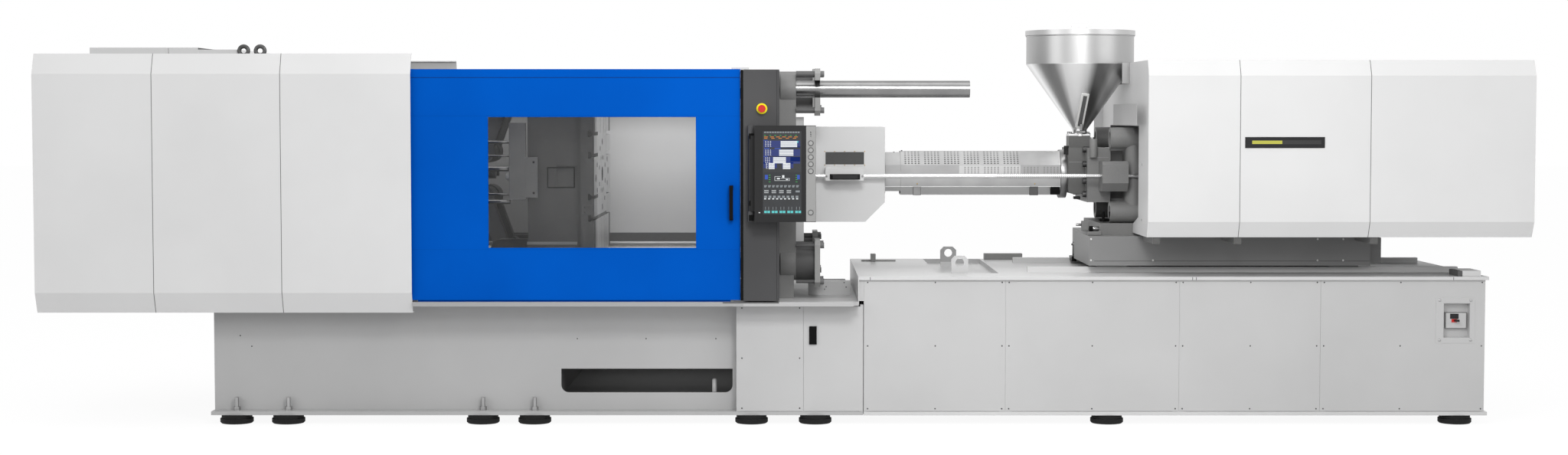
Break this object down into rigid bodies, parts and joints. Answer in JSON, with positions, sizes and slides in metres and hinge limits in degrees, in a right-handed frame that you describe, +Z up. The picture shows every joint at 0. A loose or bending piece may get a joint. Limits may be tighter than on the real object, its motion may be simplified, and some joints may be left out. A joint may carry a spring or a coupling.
{
  "type": "injection moulding machine",
  "caption": "Horizontal injection moulding machine: covered toggle clamp, blue sliding gate, control panel, barrel with hopper and a covered injection unit on a bed.",
  "frame": {"origin": "centre of the bounding box, on the floor", "axes": "+X from the clamp end to the injection end, +Y from the operator's side to the rear, +Z up"},
  "size_m": [8.9, 2.26, 2.4253],
  "materials": {
    "cover": "light grey paint, satin",
    "base": "light grey paint, satin",
    "gate": "blue paint, satin",
    "column": "dark grey paint, satin",
    "casting": "grey paint on a casting",
    "sled": "dark grey paint",
    "guard": "light grey paint",
    "black": "matte black",
    "bright": "polished",
    "steel": "machined",
    "stainless": "brushed",
    "pad": "moulded rubber",
    "pane": "clear",
    "screen": "glossy display",
    "yellow": "yellow plastic",
    "red": "red plastic",
    "brass": "machined"
  },
  "bodies": {
    "frame": {"clamp_bed": "base", "injection_bed": "base", "levelling_pads": "pad", "levelling_bolts": "steel", "clamp_hood_left": "cover", "clamp_hood_centre": "cover", "clamp_hood_right": "cover", "gate_rails": "base", "column_cover": "column", "stop_button_ring": "yellow", "panel_bracket": "column", "fixed_platen": "casting", "tie_bars": "bright", "tie_bar_keepers": "steel", "purge_guard_frame": "guard", "bed_panels": "cover", "water_manifold": "brass"},
    "operator_gate": {"operator_gate": "gate", "gate_window": "pane", "gate_handle": "black"},
    "rear_gate": {"rear_gate": "cover"},
    "stop_button": {"stop_button": "red"},
    "control_panel": {"panel_housing": "black", "panel_screen": "screen"},
    "tail_platen": {"tail_platen": "casting"},
    "moving_platen": {"moving_platen": "casting"},
    "ejector": {"ejector_plate": "steel"},
    "rear_link_upper": {"rear_link_upper": "casting"},
    "rear_link_lower": {"rear_link_lower": "casting"},
    "front_link_upper": {"front_link_upper": "casting"},
    "front_link_lower": {"front_link_lower": "casting"},
    "crosshead": {"crosshead": "casting"},
    "crosshead_arm_upper": {"crosshead_arm_upper": "casting"},
    "crosshead_arm_lower": {"crosshead_arm_lower": "casting"},
    "clamp_screw": {"clamp_screw": "steel"},
    "purge_guard": {"purge_guard": "guard", "purge_guard_handle": "black"},
    "touch_screw_front": {"touch_screw_front": "bright"},
    "touch_screw_rear": {"touch_screw_rear": "bright"},
    "carriage": {"carriage": "sled", "front_plate": "casting", "guide_rods": "bright", "throat_block": "steel", "barrel": "steel", "barrel_cover": "stainless", "hopper": "stainless", "injection_hood": "cover"},
    "hopper_lid": {"hopper_lid": "stainless"},
    "pressure_plate": {"pressure_plate": "casting"},
    "plasticising_screw": {"plasticising_screw": "bright"},
    "injection_screw": {"injection_screw": "steel"},
    "service_door": {"service_door": "cover"},
    "door_latch": {"door_latch": "black"},
    "breaker_handle": {"breaker_handle": "black"},
    "panel_button_1": {"panel_button_1": "red"},
    "panel_button_2": {"panel_button_2": "steel"},
    "panel_button_3": {"panel_button_3": "steel"},
    "panel_button_4": {"panel_button_4": "steel"},
    "panel_button_5": {"panel_button_5": "steel"},
    "panel_button_6": {"panel_button_6": "steel"}
  },
  "joints": [
    {"name": "clamp_slide", "type": "slide", "parent": "tail_platen", "child": "moving_platen", "axis": [1, 0, 0], "range_m": [0, 0.4606]},
    {"name": "die_height", "type": "slide", "parent": "frame", "child": "tail_platen", "axis": [1, 0, 0], "range_m": [-0.3, 0]},
    {"name": "rear_link_upper_turn", "type": "hinge", "parent": "tail_platen", "child": "rear_link_upper", "pos_m": [-1.99941, 0, 1.954], "axis": [0, -1, 0], "range_deg": [0, 70.2]},
    {"name": "rear_link_lower_turn", "type": "hinge", "parent": "tail_platen", "child": "rear_link_lower", "pos_m": [-1.99941, 0, 1.014], "axis": [0, 1, 0], "range_deg": [0, 70.2]},
    {"name": "front_link_upper_turn", "type": "hinge", "parent": "rear_link_upper", "child": "front_link_upper", "pos_m": [-1.87971, 0, 1.62511], "axis": [0, -1, 0], "range_deg": [-140.4, 0]},
    {"name": "front_link_lower_turn", "type": "hinge", "parent": "rear_link_lower", "child": "front_link_lower", "pos_m": [-1.87971, 0, 1.34289], "axis": [0, 1, 0], "range_deg": [-140.4, 0]},
    {"name": "crosshead_slide", "type": "slide", "parent": "tail_platen", "child": "crosshead", "axis": [1, 0, 0], "range_m": [0, 0.356]},
    {"name": "arm_upper_turn", "type": "hinge", "parent": "crosshead", "child": "crosshead_arm_upper", "pos_m": [-2.31601, 0, 1.569], "axis": [0, -1, 0], "range_deg": [0, 40.7]},
    {"name": "arm_lower_turn", "type": "hinge", "parent": "crosshead", "child": "crosshead_arm_lower", "pos_m": [-2.31601, 0, 1.399], "axis": [0, 1, 0], "range_deg": [0, 40.7]},
    {"name": "clamp_screw_spin", "type": "hinge", "parent": "tail_platen", "child": "clamp_screw", "pos_m": [-2.31601, 0, 1.484], "axis": [1, 0, 0], "range_deg": [0, 3204]},
    {"name": "ejector_slide", "type": "slide", "parent": "moving_platen", "child": "ejector", "axis": [1, 0, 0], "range_m": [0, 0.15]},
    {"name": "operator_gate_slide", "type": "slide", "parent": "frame", "child": "operator_gate", "axis": [-1, 0, 0], "range_m": [0, 1.48]},
    {"name": "rear_gate_slide", "type": "slide", "parent": "frame", "child": "rear_gate", "axis": [-1, 0, 0], "range_m": [0, 1.48]},
    {"name": "stop_button_push", "type": "slide", "parent": "frame", "child": "stop_button", "axis": [0, 1, 0], "range_m": [0, 0.006], "stiffness_N_per_m": 1000},
    {"name": "panel_swivel", "type": "hinge", "parent": "frame", "child": "control_panel", "pos_m": [-0.196, -1.048, 1.5115], "axis": [0, 0, 1], "range_deg": [-100, 0]},
    {"name": "panel_button_1_push", "type": "slide", "parent": "control_panel", "child": "panel_button_1", "axis": [0, 1, 0], "range_m": [0, 0.003], "stiffness_N_per_m": 600},
    {"name": "panel_button_2_push", "type": "slide", "parent": "control_panel", "child": "panel_button_2", "axis": [0, 1, 0], "range_m": [0, 0.003], "stiffness_N_per_m": 600},
    {"name": "panel_button_3_push", "type": "slide", "parent": "control_panel", "child": "panel_button_3", "axis": [0, 1, 0], "range_m": [0, 0.003], "stiffness_N_per_m": 600},
    {"name": "panel_button_4_push", "type": "slide", "parent": "control_panel", "child": "panel_button_4", "axis": [0, 1, 0], "range_m": [0, 0.003], "stiffness_N_per_m": 600},
    {"name": "panel_button_5_push", "type": "slide", "parent": "control_panel", "child": "panel_button_5", "axis": [0, 1, 0], "range_m": [0, 0.003], "stiffness_N_per_m": 600},
    {"name": "panel_button_6_push", "type": "slide", "parent": "control_panel", "child": "panel_button_6", "axis": [0, 1, 0], "range_m": [0, 0.003], "stiffness_N_per_m": 600},
    {"name": "purge_guard_slide", "type": "slide", "parent": "frame", "child": "purge_guard", "axis": [1, 0, 0], "range_m": [0, 0.4]},
    {"name": "carriage_slide", "type": "slide", "parent": "frame", "child": "carriage", "axis": [1, 0, 0], "range_m": [-0.09, 0.36]},
    {"name": "touch_screw_front_spin", "type": "hinge", "parent": "frame", "child": "touch_screw_front", "pos_m": [1, -0.4, 1.48], "axis": [1, 0, 0], "range_deg": [-1623, 6483]},
    {"name": "touch_screw_rear_spin", "type": "hinge", "parent": "frame", "child": "touch_screw_rear", "pos_m": [1, 0.4, 1.48], "axis": [1, 0, 0], "range_deg": [-1623, 6483]},
    {"name": "inject_slide", "type": "slide", "parent": "carriage", "child": "pressure_plate", "axis": [-1, 0, 0], "range_m": [0, 0.32]},
    {"name": "injection_screw_spin", "type": "hinge", "parent": "carriage", "child": "injection_screw", "pos_m": [3, 0, 1.484], "axis": [1, 0, 0], "range_deg": [0, 7203]},
    {"name": "plasticising_spin", "type": "hinge", "parent": "pressure_plate", "child": "plasticising_screw", "pos_m": [1.5, 0, 1.484], "axis": [1, 0, 0], "continuous": true},
    {"name": "lid_lift", "type": "slide", "parent": "carriage", "child": "hopper_lid", "axis": [0, 0, 1], "range_m": [0, 0.35]},
    {"name": "service_door_turn", "type": "hinge", "parent": "frame", "child": "service_door", "pos_m": [0.473, -0.86, 0.4], "axis": [0, 0, 1], "range_deg": [0, 110]},
    {"name": "door_latch_turn", "type": "hinge", "parent": "service_door", "child": "door_latch", "pos_m": [0.1735, -0.8645, 0.5355], "axis": [0, 1, 0], "range_deg": [0, 90]},
    {"name": "breaker_turn", "type": "hinge", "parent": "frame", "child": "breaker_handle", "pos_m": [4.0395, -0.8463, 0.624], "axis": [1, 0, 0], "range_deg": [-35, 35]}
  ],
  "couplings": [
    {"joint": "rear_link_upper_turn", "follows": "clamp_slide", "rad_per_m": 2.6526},
    {"joint": "rear_link_lower_turn", "follows": "clamp_slide", "rad_per_m": 2.6526},
    {"joint": "front_link_upper_turn", "follows": "clamp_slide", "rad_per_m": -5.3051},
    {"joint": "front_link_lower_turn", "follows": "clamp_slide", "rad_per_m": -5.3051},
    {"joint": "crosshead_slide", "follows": "clamp_slide", "ratio": 0.7718},
    {"joint": "arm_upper_turn", "follows": "clamp_slide", "rad_per_m": 1.5334},
    {"joint": "arm_lower_turn", "follows": "clamp_slide", "rad_per_m": 1.5334},
    {"joint": "clamp_screw_spin", "follows": "clamp_slide", "rad_per_m": 121.23},
    {"joint": "touch_screw_front_spin", "follows": "carriage_slide", "rad_per_m": 314.16},
    {"joint": "touch_screw_rear_spin", "follows": "carriage_slide", "rad_per_m": 314.16},
    {"joint": "injection_screw_spin", "follows": "inject_slide", "rad_per_m": 392.7}
  ]
}
